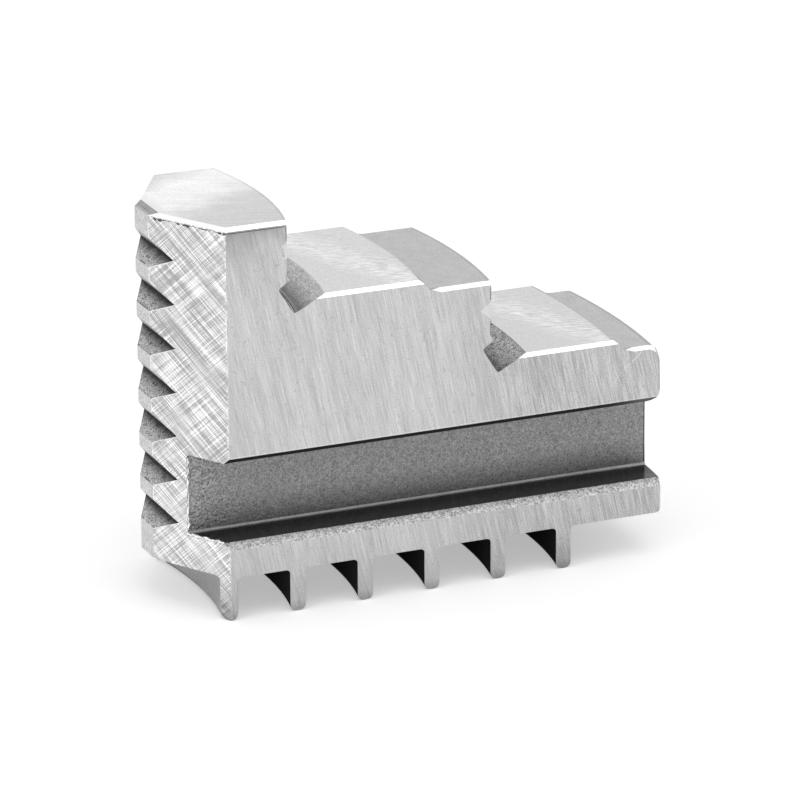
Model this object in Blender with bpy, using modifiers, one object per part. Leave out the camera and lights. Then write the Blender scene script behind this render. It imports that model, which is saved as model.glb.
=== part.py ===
"""One-piece hard jaw of a self-centring scroll chuck, with three ground steps.

Metres, +Z up. +X runs from the nose, which grips the work, to the rear. +Y runs across the jaw.
The origin is in the middle of the footprint, level with the tips of the scroll teeth.

The jaw is made as the real one is. A blank is turned about the chuck's axis, which stands in front
of the nose, so its steps, undercuts and rear are arcs about that axis. The scroll teeth are ring cut
under it. Then the sides, the nose wedge, the guide grooves and the nose serrations are cut straight.
"""
import math

import bmesh
import bpy
from mathutils import Matrix

# Overall block
JAW_WIDTH = 0.0224
JAW_HEIGHT = 0.0447

# Distance from the chuck's axis to the nose, then the lengths along the jaw, each from the end of the last
NOSE_RADIUS = 0.0306
TALL_STEP_LENGTH = 0.0138
MIDDLE_SEAT_LENGTH = 0.0152
MIDDLE_RELIEF_LENGTH = 0.0083
LOW_SEAT_LENGTH = 0.0148
LOW_RELIEF_LENGTH = 0.0058

# Steps: each ground seat ends in a shoulder down to a plain relief
MIDDLE_SEAT_DROP = 0.0088
LOW_SEAT_DROP = 0.01005
RELIEF_DROP = 0.00115
REAR_TOP_ROUND = 0.0012
REAR_UNDER_ROUND = 0.0015
RAIL_END_ROUND = 0.0005
REAR_DRAFT = math.radians(1.1)

# Grinding undercut in each inside corner, a tilted slot with leaning walls
UNDERCUT_FLOOR = 0.0034
UNDERCUT_DEPTH = 0.0017
UNDERCUT_OFFSET = 0.00075
UNDERCUT_TILT = math.radians(31)
UNDERCUT_DRAFT = math.radians(5.5)
UNDERCUT_FILLET = 0.0003
WHEEL_LIP = 0.00025
WHEEL_LIP_HEIGHT = 0.0006

# Nose: a blunt wedge with a narrow flat, cut across by V serrations
NOSE_FLAT = 0.0039
NOSE_WEDGE_ANGLE = math.radians(120)
NOSE_TOP_CHAMFER_LENGTH = 0.001
NOSE_TOP_CHAMFER_DROP = 0.00045
SERRATION_COUNT = 7
SERRATION_PITCH = 0.005
SERRATION_DEPTH = 0.00178
SERRATION_RISE = 0.002
SERRATION_FALL = 0.00137
FIRST_SERRATION_BELOW_TOP = 0.00485

# Guide grooves in both sides, the web between them and the rail below
WEB_WIDTH = 0.0122
GUIDE_HEIGHT = 0.0092
RAIL_HEIGHT = 0.00395
GUIDE_TOP_CHAMFER = 0.0006
RAIL_CHAMFER = 0.00075
WEB_TOP_FILLET = 0.00045
WEB_ROOT_FILLET = 0.0003

# Crescent scroll teeth under the rail
TOOTH_COUNT = 6
TOOTH_PITCH = 0.008
TOOTH_HEIGHT = 0.0049
TOOTH_THICKNESS = 0.00283
FIRST_TOOTH_FROM_NOSE = 0.00556
INNER_FLANK_RADIUS = 0.052
OUTER_FLANK_RADIUS = 0.029
TOOTH_TIP_ROUND = 0.0007
TOOTH_ROOT_FILLET = 0.00045

# Chamfer along the top edges of the sides and of the wedge, and its tapered start on each relief
TOP_CHAMFER = 0.0005
CHAMFER_RUN_IN = 0.0013

# Smoothness of the turned faces and of the small rounds
BLANK_STEPS = 360
INNER_FLANK_STEPS = 180
OUTER_FLANK_STEPS = 120
ROUND_STEPS = 4

# How far a cutter runs past what it cuts, and how far a tooth runs up into the rail
OVERRUN = 0.002
TOOTH_SOCKET = 0.001
WELD_DISTANCE = 0.000001
FLAT_ANGLE = math.radians(0.1)
SMOOTH_ANGLE = math.radians(25)

# Levels and places worked out from the sizes above
HALF_WIDTH = JAW_WIDTH / 2
TALL_STEP_RADIUS = NOSE_RADIUS + TALL_STEP_LENGTH
MIDDLE_SEAT_RADIUS = TALL_STEP_RADIUS + MIDDLE_SEAT_LENGTH
MIDDLE_STEP_RADIUS = MIDDLE_SEAT_RADIUS + MIDDLE_RELIEF_LENGTH
LOW_SEAT_RADIUS = MIDDLE_STEP_RADIUS + LOW_SEAT_LENGTH
REAR_RADIUS = LOW_SEAT_RADIUS + LOW_RELIEF_LENGTH
HALF_LENGTH = (REAR_RADIUS - NOSE_RADIUS) / 2
NOSE_X = -HALF_LENGTH
AXIS_X = NOSE_X - NOSE_RADIUS
RAIL_BOTTOM = TOOTH_HEIGHT
RAIL_TOP = RAIL_BOTTOM + RAIL_HEIGHT
GUIDE_TOP = RAIL_TOP + GUIDE_HEIGHT
MIDDLE_SEAT = JAW_HEIGHT - MIDDLE_SEAT_DROP
MIDDLE_RELIEF = MIDDLE_SEAT - RELIEF_DROP
LOW_SEAT = MIDDLE_SEAT - LOW_SEAT_DROP
LOW_RELIEF = LOW_SEAT - RELIEF_DROP
WEDGE_SLOPE = math.tan(NOSE_WEDGE_ANGLE / 2)
WEDGE_LENGTH = (HALF_WIDTH - NOSE_FLAT / 2) / WEDGE_SLOPE

REAR_TOP_RADIUS = REAR_RADIUS - (LOW_RELIEF - RAIL_TOP) * math.tan(REAR_DRAFT)
REAR_UNDER_RADIUS = REAR_RADIUS - (GUIDE_TOP - RAIL_TOP) * math.tan(REAR_DRAFT)

# Axes of an outline's plane: which way its first, second and thickness directions point
PLAN = Matrix.Identity(4)
CROSS_SECTION = Matrix(((0, 0, 1, 0), (1, 0, 0, 0), (0, 1, 0, 0), (0, 0, 0, 1)))
SIDE_VIEW = Matrix(((1, 0, 0, 0), (0, 0, -1, 0), (0, 1, 0, 0), (0, 0, 0, 1)))

# Slides a cutter's underside into a 45 degree chamfer that falls away outwards, along +Y
CHAMFER_SLOPE = Matrix(((1, 0, 0, 0), (0, 1, 0, 0), (0, -1, 1, -TOP_CHAMFER), (0, 0, 0, 1)))


def arc(centre, radius, start_degrees, end_degrees):
    """Points of a round, from one angle to the other about its centre."""
    points = []
    for step in range(ROUND_STEPS + 1):
        angle = math.radians(start_degrees + (end_degrees - start_degrees) * step / ROUND_STEPS)
        points.append((centre[0] + radius * math.cos(angle), centre[1] + radius * math.sin(angle)))
    return points


def fillet(before, corner, after, radius):
    """Points of a round of one radius that replaces a profile's corner."""
    ways = []
    for end in (before, after):
        reach = math.dist(corner, end)
        ways.append(((end[0] - corner[0]) / reach, (end[1] - corner[1]) / reach))
    half = math.acos(ways[0][0] * ways[1][0] + ways[0][1] * ways[1][1]) / 2
    middle = (ways[0][0] + ways[1][0], ways[0][1] + ways[1][1])
    scale = radius / math.sin(half) / math.hypot(*middle)
    centre = (corner[0] + middle[0] * scale, corner[1] + middle[1] * scale)
    tangent = radius / math.tan(half)
    first = (corner[0] + ways[0][0] * tangent, corner[1] + ways[0][1] * tangent)
    last = (corner[0] + ways[1][0] * tangent, corner[1] + ways[1][1] * tangent)
    start = math.atan2(first[1] - centre[1], first[0] - centre[0])
    turn = math.atan2(last[1] - centre[1], last[0] - centre[0]) - start
    turn = (turn + math.pi) % math.tau - math.pi
    return arc(centre, radius, math.degrees(start), math.degrees(start + turn))


def undercut(wall, seat):
    """Profile of the slot where a step's rear wall, at a radius, meets the seat below it."""
    low = (wall + UNDERCUT_OFFSET, seat - UNDERCUT_DEPTH)
    across = UNDERCUT_FLOOR * math.sin(UNDERCUT_TILT)
    high = (low[0] - across, low[1] + UNDERCUT_FLOOR * math.cos(UNDERCUT_TILT))
    upper_lean = math.tan(UNDERCUT_TILT + UNDERCUT_DRAFT)
    lip = (wall + WHEEL_LIP, high[1] + (wall + WHEEL_LIP - high[0]) * upper_lean)
    mouth = (mouth_radius(wall), seat)
    points = [(wall, lip[1] + WHEEL_LIP_HEIGHT), lip]
    points += fillet(lip, high, low, UNDERCUT_FILLET)
    points += fillet(high, low, mouth, UNDERCUT_FILLET)
    points.append(mouth)
    return points


def mouth_radius(wall):
    """Radius at which the undercut behind a step's wall opens on to the seat."""
    return wall + UNDERCUT_OFFSET + UNDERCUT_DEPTH / math.tan(UNDERCUT_TILT - UNDERCUT_DRAFT)


def rear_top_arc():
    """Radius and height of the round along the top of the rear."""
    centre = (REAR_TOP_RADIUS - REAR_TOP_ROUND, LOW_RELIEF - REAR_TOP_ROUND)
    return arc(centre, REAR_TOP_ROUND, 90, 0)


def blank_profile():
    """Radius and height of the turned blank, from the top of the nose down the rear and back."""
    inside = NOSE_RADIUS - OVERRUN
    rail_end = (REAR_RADIUS - RAIL_END_ROUND, RAIL_BOTTOM + RAIL_END_ROUND)
    points = [(inside, JAW_HEIGHT), (TALL_STEP_RADIUS, JAW_HEIGHT)]
    points += undercut(TALL_STEP_RADIUS, MIDDLE_SEAT)
    points += [(MIDDLE_SEAT_RADIUS, MIDDLE_SEAT), (MIDDLE_SEAT_RADIUS + RELIEF_DROP, MIDDLE_RELIEF)]
    points.append((MIDDLE_STEP_RADIUS, MIDDLE_RELIEF))
    points += undercut(MIDDLE_STEP_RADIUS, LOW_SEAT)
    points += [(LOW_SEAT_RADIUS, LOW_SEAT), (LOW_SEAT_RADIUS + RELIEF_DROP, LOW_RELIEF)]
    points += rear_top_arc()
    points.append((REAR_RADIUS, RAIL_TOP))
    points += arc(rail_end, RAIL_END_ROUND, 0, -90)
    points.append((inside, RAIL_BOTTOM))
    return points


def tooth_profile():
    """Radius and height of the disc that gives a tooth its bulging rear flank."""
    flank = OUTER_FLANK_RADIUS
    top = RAIL_BOTTOM + TOOTH_SOCKET
    root = (flank + TOOTH_ROOT_FILLET, RAIL_BOTTOM - TOOTH_ROOT_FILLET)
    tip = (flank - TOOTH_TIP_ROUND, TOOTH_TIP_ROUND)
    points = [(0, top), (root[0], top)]
    points += arc(root, TOOTH_ROOT_FILLET, 90, 180)
    points += arc(tip, TOOTH_TIP_ROUND, 0, -90)
    points.append((0, 0))
    return points


def tooth_hollow_profile():
    """Radius and height of the cutter that gives a tooth its hollow front flank."""
    flank = INNER_FLANK_RADIUS
    top = RAIL_BOTTOM + TOOTH_SOCKET + OVERRUN
    root = (flank - TOOTH_ROOT_FILLET, RAIL_BOTTOM - TOOTH_ROOT_FILLET)
    tip = (flank + TOOTH_TIP_ROUND, TOOTH_TIP_ROUND)
    points = [(0, top), (root[0], top)]
    points += arc(root, TOOTH_ROOT_FILLET, 90, 0)
    points += arc(tip, TOOTH_TIP_ROUND, 180, 270)
    points += [(tip[0], -OVERRUN), (0, -OVERRUN)]
    return points


def rear_under_profile():
    """Radius and height of the cutter that rounds the upper body's lower rear edge."""
    centre = (REAR_UNDER_RADIUS - REAR_UNDER_ROUND, GUIDE_TOP + REAR_UNDER_ROUND)
    outside = REAR_RADIUS + OVERRUN
    below = GUIDE_TOP - OVERRUN
    points = [(outside, centre[1]), (outside, below), (centre[0], below)]
    return points + arc(centre, REAR_UNDER_ROUND, -90, 0)


def plan_outline():
    """The jaw seen from above, past the rear, where the blank's own arc ends it."""
    wedge_x = NOSE_X + WEDGE_LENGTH
    rear_x = HALF_LENGTH + OVERRUN
    half_flat = NOSE_FLAT / 2
    return [(NOSE_X, -half_flat), (wedge_x, -HALF_WIDTH), (rear_x, -HALF_WIDTH),
            (rear_x, HALF_WIDTH), (wedge_x, HALF_WIDTH), (NOSE_X, half_flat)]


def guide_outline():
    """Section of the groove in the +Y side, with its fillets and both edge chamfers."""
    outside = HALF_WIDTH + OVERRUN
    web = WEB_WIDTH / 2
    points = [(outside, GUIDE_TOP + GUIDE_TOP_CHAMFER + OVERRUN)]
    points.append((HALF_WIDTH - GUIDE_TOP_CHAMFER, GUIDE_TOP))
    points += arc((web + WEB_TOP_FILLET, GUIDE_TOP - WEB_TOP_FILLET), WEB_TOP_FILLET, 90, 180)
    points += arc((web + WEB_ROOT_FILLET, RAIL_TOP + WEB_ROOT_FILLET), WEB_ROOT_FILLET, 180, 270)
    points += [(HALF_WIDTH - RAIL_CHAMFER, RAIL_TOP), (outside, RAIL_TOP - RAIL_CHAMFER - OVERRUN)]
    return points


def serration_outline(index):
    """One V groove of the nose seen from the side, run out past the nose flat."""
    apex = JAW_HEIGHT - FIRST_SERRATION_BELOW_TOP - index * SERRATION_PITCH
    stretch = (SERRATION_DEPTH + OVERRUN) / SERRATION_DEPTH
    front = NOSE_X - OVERRUN
    return [(NOSE_X + SERRATION_DEPTH, apex), (front, apex + SERRATION_RISE * stretch),
            (front, apex - SERRATION_FALL * stretch)]


def nose_top_outline():
    """The wedge of metal taken off where the nose flat meets the top, seen from the side."""
    slope = NOSE_TOP_CHAMFER_DROP / NOSE_TOP_CHAMFER_LENGTH
    front = NOSE_X - OVERRUN
    back = NOSE_X + NOSE_TOP_CHAMFER_LENGTH + OVERRUN
    above = JAW_HEIGHT + OVERRUN * slope
    return [(front, JAW_HEIGHT - NOSE_TOP_CHAMFER_DROP - OVERRUN * slope), (back, above), (front, above)]


def side_x(radius):
    """Place along the jaw where an arc about the chuck's axis meets the side."""
    return AXIS_X + math.sqrt(radius ** 2 - HALF_WIDTH ** 2)


def seat_chamfer_outline(wall, seat_end, level):
    """The space over a seat seen from the side, from inside its undercut to just past its end."""
    start = (side_x(wall) + side_x(mouth_radius(wall))) / 2
    end = side_x(seat_end) + 2 * TOP_CHAMFER
    over = level + OVERRUN
    return [(start, level), (end, level), (end, over), (start, over)]


def relief_chamfer_outline(seat_end, end_line):
    """The space over a relief seen from the side, which comes down to full depth behind the shoulder."""
    foot = side_x(seat_end + RELIEF_DROP)
    level = end_line[0][1]
    line = [(foot, level + RELIEF_DROP / 2), (foot + CHAMFER_RUN_IN, level)]
    line += [(side_x(radius), height) for radius, height in end_line]
    past = line[-1][0] + OVERRUN
    over = level + OVERRUN
    return line + [(past, line[-1][1]), (past, over), (foot, over)]


def chamfer_outlines():
    """The space over every level of the side, whose lower edge is that level's own top line."""
    tall_start = NOSE_X - OVERRUN
    tall_end = side_x(TALL_STEP_RADIUS) + OVERRUN
    over = JAW_HEIGHT + OVERRUN
    tall = [(tall_start, JAW_HEIGHT), (tall_end, JAW_HEIGHT), (tall_end, over), (tall_start, over)]
    middle_seat = seat_chamfer_outline(TALL_STEP_RADIUS, MIDDLE_SEAT_RADIUS, MIDDLE_SEAT)
    middle_relief = relief_chamfer_outline(MIDDLE_SEAT_RADIUS, [(MIDDLE_STEP_RADIUS, MIDDLE_RELIEF)])
    low_seat = seat_chamfer_outline(MIDDLE_STEP_RADIUS, LOW_SEAT_RADIUS, LOW_SEAT)
    low_relief = relief_chamfer_outline(LOW_SEAT_RADIUS, rear_top_arc())
    return [tall, middle_seat, middle_relief, low_seat, low_relief]


def wedge_chamfer_outline():
    """The space over the nose wedge, along its face from the edge of the nose flat."""
    reach = JAW_WIDTH
    over = JAW_HEIGHT + OVERRUN
    return [(-reach, JAW_HEIGHT), (reach, JAW_HEIGHT), (reach, over), (-reach, over)]


def clear_scene():
    """Remove every object, the startup ones too."""
    for obj in list(bpy.data.objects):
        bpy.data.objects.remove(obj, do_unlink=True)


def new_collection(name):
    """Add a collection to the scene."""
    collection = bpy.data.collections.new(name)
    bpy.context.scene.collection.children.link(collection)
    return collection


def place(obj, collection, guide=True):
    """Link an object to its collection, and mark it as a cutter unless it is the jaw."""
    collection.objects.link(obj)
    if guide:
        obj.hide_render = True
        obj.display_type = 'WIRE'
    return obj


def evaluated_mesh(obj):
    """The object's mesh with its modifiers or its curve settings applied."""
    depsgraph = bpy.context.evaluated_depsgraph_get()
    return bpy.data.meshes.new_from_object(obj.evaluated_get(depsgraph))


def turned_solid(name, profile, steps, centre_x, closed, collection):
    """Turn a profile of (radius, height) points right round a vertical axis at centre_x."""
    mesh = bpy.data.meshes.new(name)
    last = len(profile) if closed else len(profile) - 1
    edges = [(index, (index + 1) % len(profile)) for index in range(last)]
    mesh.from_pydata([(radius, 0, height) for radius, height in profile], edges, [])
    obj = place(bpy.data.objects.new(name, mesh), collection)
    obj.location.x = centre_x
    screw = obj.modifiers.new('turn', 'SCREW')
    screw.steps = steps
    screw.render_steps = steps
    screw.use_merge_vertices = True
    screw.merge_threshold = WELD_DISTANCE
    return obj


def outline_solid(name, outlines, thickness, plane, collection):
    """Give flat closed outlines a thickness, half to each side of their plane."""
    curve = bpy.data.curves.new(name, 'CURVE')
    curve.dimensions = '2D'
    curve.fill_mode = 'BOTH'
    curve.extrude = thickness / 2
    for outline in outlines:
        spline = curve.splines.new('POLY')
        spline.points.add(len(outline) - 1)
        for point, (first, second) in zip(spline.points, outline):
            point.co = (first, second, 0, 1)
        spline.use_cyclic_u = True
    drawn = bpy.data.objects.new(name, curve)
    collection.objects.link(drawn)
    mesh = evaluated_mesh(drawn)
    bpy.data.objects.remove(drawn, do_unlink=True)
    bm = bmesh.new()
    bm.from_mesh(mesh)
    bmesh.ops.remove_doubles(bm, verts=bm.verts, dist=WELD_DISTANCE)
    bmesh.ops.transform(bm, matrix=plane, verts=bm.verts)
    bmesh.ops.recalc_face_normals(bm, faces=bm.faces)
    bm.to_mesh(mesh)
    bm.free()
    return place(bpy.data.objects.new(name, mesh), collection)


def box(name, low, high, collection):
    """A block between two corners."""
    mesh = bpy.data.meshes.new(name)
    bm = bmesh.new()
    bmesh.ops.create_cube(bm, size=1)
    size = [b - a for a, b in zip(low, high)]
    middle = [(a + b) / 2 for a, b in zip(low, high)]
    bmesh.ops.transform(bm, matrix=Matrix.Translation(middle) @ Matrix.Diagonal((*size, 1)), verts=bm.verts)
    bm.to_mesh(mesh)
    bm.free()
    return place(bpy.data.objects.new(name, mesh), collection)


def on_both_sides(cutter):
    """Repeat a cutter on the other side of the jaw's middle plane, as a second body."""
    mirror = cutter.modifiers.new('both_sides', 'MIRROR')
    mirror.use_axis = (False, True, False)
    mirror.use_mirror_merge = False
    return cutter


def combine(obj, other, operation):
    """Add a Boolean of one object with another to its modifiers."""
    modifier = obj.modifiers.new(f'{operation.lower()}_{other.name}', 'BOOLEAN')
    modifier.operation = operation
    modifier.solver = 'EXACT'
    modifier.object = other


def scroll_teeth(collection):
    """One crescent tooth, repeated by the scroll's pitch."""
    front = NOSE_X + FIRST_TOOTH_FROM_NOSE
    disc_x = front + TOOTH_THICKNESS - OUTER_FLANK_RADIUS
    hollow_x = front - INNER_FLANK_RADIUS
    hollow_profile = tooth_hollow_profile()
    teeth = turned_solid('scroll_teeth', tooth_profile(), OUTER_FLANK_STEPS, disc_x, False, collection)
    hollow = turned_solid('tooth_hollow', hollow_profile, INNER_FLANK_STEPS, hollow_x, False, collection)
    combine(teeth, hollow, 'DIFFERENCE')
    row = teeth.modifiers.new('row', 'ARRAY')
    row.count = TOOTH_COUNT
    row.use_relative_offset = False
    row.use_constant_offset = True
    row.constant_offset_displace = (TOOTH_PITCH, 0, 0)
    return teeth


def rear_under_cutter(collection):
    """Rounds the upper body's lower rear edge beside the web, and leaves the web's own end."""
    ring = turned_solid('rear_under_round', rear_under_profile(), BLANK_STEPS, AXIS_X, True, collection)
    low = (0, WEB_WIDTH / 2, RAIL_TOP)
    high = (HALF_LENGTH + 2 * OVERRUN, HALF_WIDTH + OVERRUN, MIDDLE_SEAT)
    side = box('rear_side', low, high, collection)
    combine(ring, on_both_sides(side), 'INTERSECT')
    return ring


def steel():
    """Hardened alloy steel, ground bright."""
    material = bpy.data.materials.new('ground_tool_steel')
    material.use_nodes = True
    shader = material.node_tree.nodes['Principled BSDF']
    shader.inputs['Base Color'].default_value = (0.60, 0.60, 0.60, 1)
    shader.inputs['Metallic'].default_value = 1
    shader.inputs['Roughness'].default_value = 0.38
    return material


def build_jaw(parts, cutters):
    """Turn the blank, add the teeth, cut the straight forms and chamfer the top edges."""
    blank = turned_solid('blank', blank_profile(), BLANK_STEPS, AXIS_X, True, cutters)
    side = HALF_WIDTH + 2 * OVERRUN
    stock_low = (NOSE_X - OVERRUN, -side, -OVERRUN)
    stock_high = (HALF_LENGTH + 2 * OVERRUN, side, JAW_HEIGHT + OVERRUN)
    length = REAR_RADIUS - NOSE_RADIUS + 4 * OVERRUN
    serrations = [serration_outline(index) for index in range(SERRATION_COUNT)]
    across = JAW_WIDTH + 2 * OVERRUN
    tall = 2 * (JAW_HEIGHT + OVERRUN)
    side_slope = Matrix.Translation((0, HALF_WIDTH, 0)) @ CHAMFER_SLOPE @ SIDE_VIEW
    wedge_edge = Matrix.Translation((NOSE_X, NOSE_FLAT / 2, 0))
    wedge_turn = Matrix.Rotation(NOSE_WEDGE_ANGLE / 2, 4, 'Z')
    wedge_slope = wedge_edge @ wedge_turn @ CHAMFER_SLOPE @ SIDE_VIEW
    guides = outline_solid('guide_grooves', [guide_outline()], length, CROSS_SECTION, cutters)
    sides = outline_solid('side_chamfers', chamfer_outlines(), 2 * OVERRUN, side_slope, cutters)
    wedge = outline_solid('wedge_chamfers', [wedge_chamfer_outline()], 2 * OVERRUN, wedge_slope, cutters)
    combine(blank, box('stock', stock_low, stock_high, cutters), 'INTERSECT')
    combine(blank, scroll_teeth(cutters), 'UNION')
    combine(blank, outline_solid('plan', [plan_outline()], tall, PLAN, cutters), 'INTERSECT')
    combine(blank, on_both_sides(guides), 'DIFFERENCE')
    combine(blank, rear_under_cutter(cutters), 'DIFFERENCE')
    combine(blank, outline_solid('serrations', serrations, across, SIDE_VIEW, cutters), 'DIFFERENCE')
    nose_top = outline_solid('nose_top', [nose_top_outline()], across, SIDE_VIEW, cutters)
    combine(blank, nose_top, 'DIFFERENCE')
    combine(blank, on_both_sides(sides), 'DIFFERENCE')
    combine(blank, on_both_sides(wedge), 'DIFFERENCE')

    mesh = evaluated_mesh(blank)
    mesh.name = 'jaw'
    mesh.transform(blank.matrix_world)
    bm = bmesh.new()
    bm.from_mesh(mesh)
    bmesh.ops.remove_doubles(bm, verts=bm.verts, dist=WELD_DISTANCE)
    bmesh.ops.dissolve_limit(bm, angle_limit=FLAT_ANGLE, verts=bm.verts, edges=bm.edges)
    bm.to_mesh(mesh)
    bm.free()
    mesh.materials.clear()
    mesh.materials.append(steel())
    mesh.shade_smooth()
    mesh.set_sharp_from_angle(angle=SMOOTH_ANGLE)
    return place(bpy.data.objects.new('jaw', mesh), parts, guide=False)


def main():
    clear_scene()
    parts = new_collection('hard_chuck_jaw')
    cutters = new_collection('cutters')
    build_jaw(parts, cutters)


main()
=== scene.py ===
# %% [markdown]
# # A hard chuck jaw, dressed for its picture
#
# A hard jaw is one piece of hardened steel. It is milled, hardened and then ground where it has to be
# true, so its faces don't all look alike: the sides and steps are bright with wheel marks, the guide
# grooves keep the grey of shot blasting, and the scroll teeth's flanks are painted nearly black as shade.
# The CAD model gives the shape. This script gives each face its own finish.

# %% Load the CAD frame
import math

import bmesh
import bpy
import numpy as np
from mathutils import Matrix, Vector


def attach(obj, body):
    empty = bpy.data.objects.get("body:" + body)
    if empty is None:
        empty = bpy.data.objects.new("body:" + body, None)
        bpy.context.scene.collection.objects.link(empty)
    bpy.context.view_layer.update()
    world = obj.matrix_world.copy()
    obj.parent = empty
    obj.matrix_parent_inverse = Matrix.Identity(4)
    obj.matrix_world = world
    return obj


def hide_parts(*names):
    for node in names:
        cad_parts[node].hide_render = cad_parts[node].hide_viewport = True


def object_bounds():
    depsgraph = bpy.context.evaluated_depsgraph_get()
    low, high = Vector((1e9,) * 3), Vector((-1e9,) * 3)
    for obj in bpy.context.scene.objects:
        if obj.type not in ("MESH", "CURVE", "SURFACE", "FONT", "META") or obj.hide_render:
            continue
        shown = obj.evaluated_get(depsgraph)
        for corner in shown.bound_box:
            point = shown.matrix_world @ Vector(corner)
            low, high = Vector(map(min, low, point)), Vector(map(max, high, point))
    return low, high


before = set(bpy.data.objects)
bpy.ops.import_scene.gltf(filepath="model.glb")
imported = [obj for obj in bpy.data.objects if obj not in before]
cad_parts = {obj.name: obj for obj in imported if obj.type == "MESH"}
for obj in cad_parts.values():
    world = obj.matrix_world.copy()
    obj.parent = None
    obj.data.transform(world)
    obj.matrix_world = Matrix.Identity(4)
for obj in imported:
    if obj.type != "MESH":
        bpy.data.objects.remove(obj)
scene = bpy.context.scene
cad_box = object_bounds()
cad_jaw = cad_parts["jaw"]

# %% [markdown]
# ## Real sizes
#
# The jaw's sizes and patterns are written in millimetres, and multiplied by MM where Blender wants
# metres. These few sizes say where each kind of face lies, so that it gets its own finish. X runs from
# the nose to the rear, and Z up from the tooth tips.

# %% Sizes of the jaw
MM = 0.001
HALF_WIDTH = 11.2
HALF_WEB = 6.1
NOSE_X = -28.95
AXIS_X = NOSE_X - 30.6
WEB_START_X = -26.554
SIDE_START_X = -23.61
REAR_RADIUS = 88.5
TOP_Z = 44.7
MIDDLE_SEAT_Z = 35.9
LOW_SEAT_Z = 25.85
RELIEF_DROP = 1.15
GUIDE_TOP_Z = 18.05
RAIL_TOP_Z = 8.85
RAIL_BOTTOM_Z = 4.9
print("steps at", (TOP_Z, MIDDLE_SEAT_Z, LOW_SEAT_Z), "mm, chuck's axis at", round(AXIS_X, 2), "mm")

# %% [markdown]
# ## The camera
#
# The photograph was taken from far off with a long lens, about 19 degrees above the jaw and 23
# degrees round from its side. These numbers come from fitting a camera to the corners of the jaw.

# %% Camera at the photograph's angle
def new_object(name, data):
    """An object in the scene that shows the data."""
    thing = bpy.data.objects.new(name, data)
    scene.collection.objects.link(thing)
    return thing


def put(thing, right, up, back, position):
    """Put an object at a position, in metres, with its own X, Y and Z pointing right, up and back."""
    matrix = np.eye(4)
    matrix[:3] = np.column_stack([right, up, back, position])
    thing.matrix_world = matrix.T


AZIMUTH = math.radians(23.283)
ELEVATION = math.radians(19.091)
ROLL = math.radians(-0.261)
LENS = 245.5
DISTANCE = 605.68
TARGET = np.array([29.574 + NOSE_X, -1.674, 19.066])

level_share = math.cos(ELEVATION)
look = np.array([math.sin(AZIMUTH) * level_share, math.cos(AZIMUTH) * level_share, -math.sin(ELEVATION)])
level = np.array([math.cos(AZIMUTH), -math.sin(AZIMUTH), 0.0])
upright = np.cross(level, look)
stand = TARGET - look * DISTANCE

camera_data = bpy.data.cameras.new("camera")
camera_data.lens = LENS
camera_data.sensor_width = 36
camera_data.clip_start = 0.01
camera = new_object("camera", camera_data)
put(camera, math.cos(ROLL) * level + math.sin(ROLL) * upright,
    math.cos(ROLL) * upright - math.sin(ROLL) * level, -look, stand * MM)
scene.camera = camera
print("camera at", np.round(stand, 1), "mm")

# %% [markdown]
# ## Node and colour helpers
#
# Colours are written as sRGB hex values, as a colour picker shows them. Blender's sockets want linear
# light, so one function turns them. One more adds any node with its settings and its links.

# %% Colour and node helpers
def linear(hex_colour):
    """sRGB hex to linear light: each channel / 12.92 below 0.04045, else ((c + 0.055) / 1.055) ** 2.4."""
    channels = [int(hex_colour[i:i + 2], 16) / 255 for i in (1, 3, 5)]
    return [c / 12.92 if c <= 0.04045 else ((c + 0.055) / 1.055) ** 2.4 for c in channels] + [1.0]


def add(tree, kind, links=None, **settings):
    """Add one node. settings are its own properties; links gives each input a value or another's output."""
    node = tree.nodes.new(kind)
    for name, value in settings.items():
        setattr(node, name, value)
    for socket, value in (links or {}).items():
        if isinstance(value, bpy.types.NodeSocket):
            tree.links.new(value, node.inputs[socket])
        else:
            node.inputs[socket].default_value = value
    return node


def new_material(name):
    """An empty material; gives back the material, its node tree and its Principled shader."""
    material = bpy.data.materials.new(name)
    material.use_nodes = True
    tree = material.node_tree
    return material, tree, tree.nodes["Principled BSDF"]


print("hex #cccccc is", round(linear("#cccccc")[0], 3), "in linear light")

# %% [markdown]
# ## A copy of the jaw to finish
#
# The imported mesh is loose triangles. A copy of it is merged and its flat faces are joined up again, so
# that every flat is one face and can take one finish.

# %% Merge a copy of the CAD mesh
WELD = 0.002
FLAT_ANGLE = math.radians(0.15)


def merged_copy(source, name):
    """The node's mesh with doubles welded and coplanar triangles joined into whole faces."""
    mesh = source.data.copy()
    mesh.name = name
    bm = bmesh.new()
    bm.from_mesh(mesh)
    bmesh.ops.remove_doubles(bm, verts=bm.verts, dist=WELD * MM)
    bmesh.ops.dissolve_limit(bm, angle_limit=FLAT_ANGLE, verts=bm.verts, edges=bm.edges)
    bm.to_mesh(mesh)
    bm.free()
    return new_object(name, mesh)


jaw = merged_copy(cad_jaw, "jaw_steel")
print("faces:", len(cad_jaw.data.polygons), "triangles became", len(jaw.data.polygons))

# %% [markdown]
# ## Which face is which
#
# Each face is known by where it is and which way it points. All faces are tested at once as numpy
# arrays. Later tests win over earlier ones, so the list runs from the general to the particular.

# %% Read every face's direction and place
def face_arrays(mesh):
    """Normals, and centres in millimetres, of every face, as arrays of rows."""
    count = len(mesh.polygons)
    normals = np.empty(count * 3)
    centres = np.empty(count * 3)
    mesh.polygons.foreach_get("normal", normals)
    mesh.polygons.foreach_get("center", centres)
    return normals.reshape(-1, 3), centres.reshape(-1, 3) / MM


def between(values, low, high):
    """True where a value lies between two limits."""
    return (values > low) & (values < high)


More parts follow.
